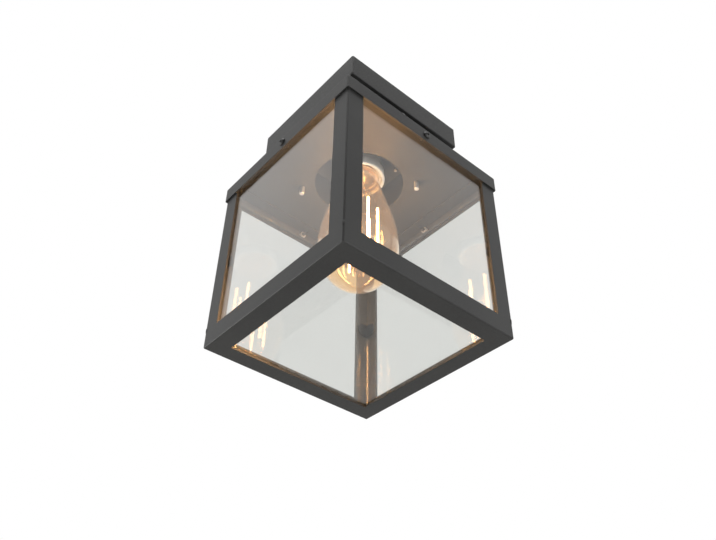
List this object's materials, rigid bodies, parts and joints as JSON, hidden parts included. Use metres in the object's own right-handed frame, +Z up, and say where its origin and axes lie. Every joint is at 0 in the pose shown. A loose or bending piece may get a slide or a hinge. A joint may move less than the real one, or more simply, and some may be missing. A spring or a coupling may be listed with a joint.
{
  "type": "porch ceiling lantern",
  "caption": "Square porch ceiling lantern: glazed angle-section cage under a flat lid, with a clear screw-in filament bulb.",
  "frame": {"origin": "middle of the ceiling plane, on the upper face of the ceiling bracket, level with the canopy's open rim", "axes": "+Z up into the ceiling, the lantern hangs into -Z; +X is the right side, -Y the front"},
  "size_m": [0.167, 0.167, 0.2294],
  "materials": {
    "powder_coat": "fine texture anthracite powder coat",
    "clear_glass": "clear polished",
    "bulb_glass": "clear, faint amber tint",
    "black_spring": "black satin",
    "zinc_steel": "zinc plated",
    "ceramic_white": "white glazed",
    "brass_parts": "bright",
    "cap_metal": "rolled, bright",
    "cap_insulator": "black vitreous",
    "filament_wire": "glowing, phosphor coated sticks",
    "support_wire": "bright drawn wire",
    "brown_wire": "brown insulation",
    "blue_wire": "blue insulation",
    "earth_wire": "green and yellow insulation",
    "grommet_rubber": "matt"
  },
  "bodies": {
    "fixed_top": {"ceiling_canopy": "powder_coat", "neck": "powder_coat", "neck_flange": "powder_coat", "lid": "powder_coat", "canopy_nuts": "powder_coat", "ceiling_bracket": "zinc_steel", "bracket_studs": "zinc_steel", "canopy_washers": "zinc_steel", "neck_nuts": "zinc_steel", "neck_screws": "zinc_steel", "lid_screws": "zinc_steel", "lampholder_screws": "zinc_steel", "side_screw_nuts": "zinc_steel", "terminal_screws": "zinc_steel", "terminal_fixing_screw": "zinc_steel", "earth_screw": "zinc_steel", "earth_nut": "zinc_steel", "earth_lug": "zinc_steel", "lampholder_body": "ceramic_white", "terminal_block": "ceramic_white", "lampholder_shell": "brass_parts", "lampholder_contact": "brass_parts", "lampholder_side_contact": "brass_parts", "terminal_inserts": "brass_parts", "wire_live": "brown_wire", "wire_neutral": "blue_wire", "wire_earth": "earth_wire", "wire_grommet": "grommet_rubber"},
    "cage": {"post_back_right": "powder_coat", "post_back_left": "powder_coat", "post_front_left": "powder_coat", "post_front_right": "powder_coat", "bottom_rail_right": "powder_coat", "bottom_rail_back": "powder_coat", "bottom_rail_left": "powder_coat", "bottom_rail_front": "powder_coat", "top_rail_right": "powder_coat", "top_rail_back": "powder_coat", "top_rail_left": "powder_coat", "top_rail_front": "powder_coat", "pane_right": "clear_glass", "pane_back": "clear_glass", "pane_left": "clear_glass", "pane_front": "clear_glass", "pane_bottom": "clear_glass", "glass_clips": "black_spring"},
    "bulb": {"bulb_envelope": "bulb_glass", "bulb_cap": "cap_metal", "bulb_insulator": "cap_insulator", "bulb_contact": "brass_parts", "bulb_stem": "bulb_glass", "bulb_filament": "filament_wire", "bulb_supports": "support_wire", "bulb_leads": "support_wire"},
    "screw_right": {"side_screw_right": "powder_coat"},
    "screw_back": {"side_screw_back": "powder_coat"},
    "screw_left": {"side_screw_left": "powder_coat"},
    "screw_front": {"side_screw_front": "powder_coat"}
  },
  "joints": [
    {"name": "cage_drop", "type": "slide", "parent": "fixed_top", "child": "cage", "axis": [0, 0, -1], "range_m": [0, 0.11]},
    {"name": "bulb_unscrew", "type": "slide", "parent": "fixed_top", "child": "bulb", "axis": [0, 0, -1], "range_m": [0, 0.024]},
    {"name": "screw_right_loosen", "type": "slide", "parent": "fixed_top", "child": "screw_right", "axis": [1, 0, 0], "range_m": [0, 0.0025]},
    {"name": "screw_back_loosen", "type": "slide", "parent": "fixed_top", "child": "screw_back", "axis": [0, 1, 0], "range_m": [0, 0.0025]},
    {"name": "screw_left_loosen", "type": "slide", "parent": "fixed_top", "child": "screw_left", "axis": [-1, 0, 0], "range_m": [0, 0.0025]},
    {"name": "screw_front_loosen", "type": "slide", "parent": "fixed_top", "child": "screw_front", "axis": [0, -1, 0], "range_m": [0, 0.0025]}
  ]
}
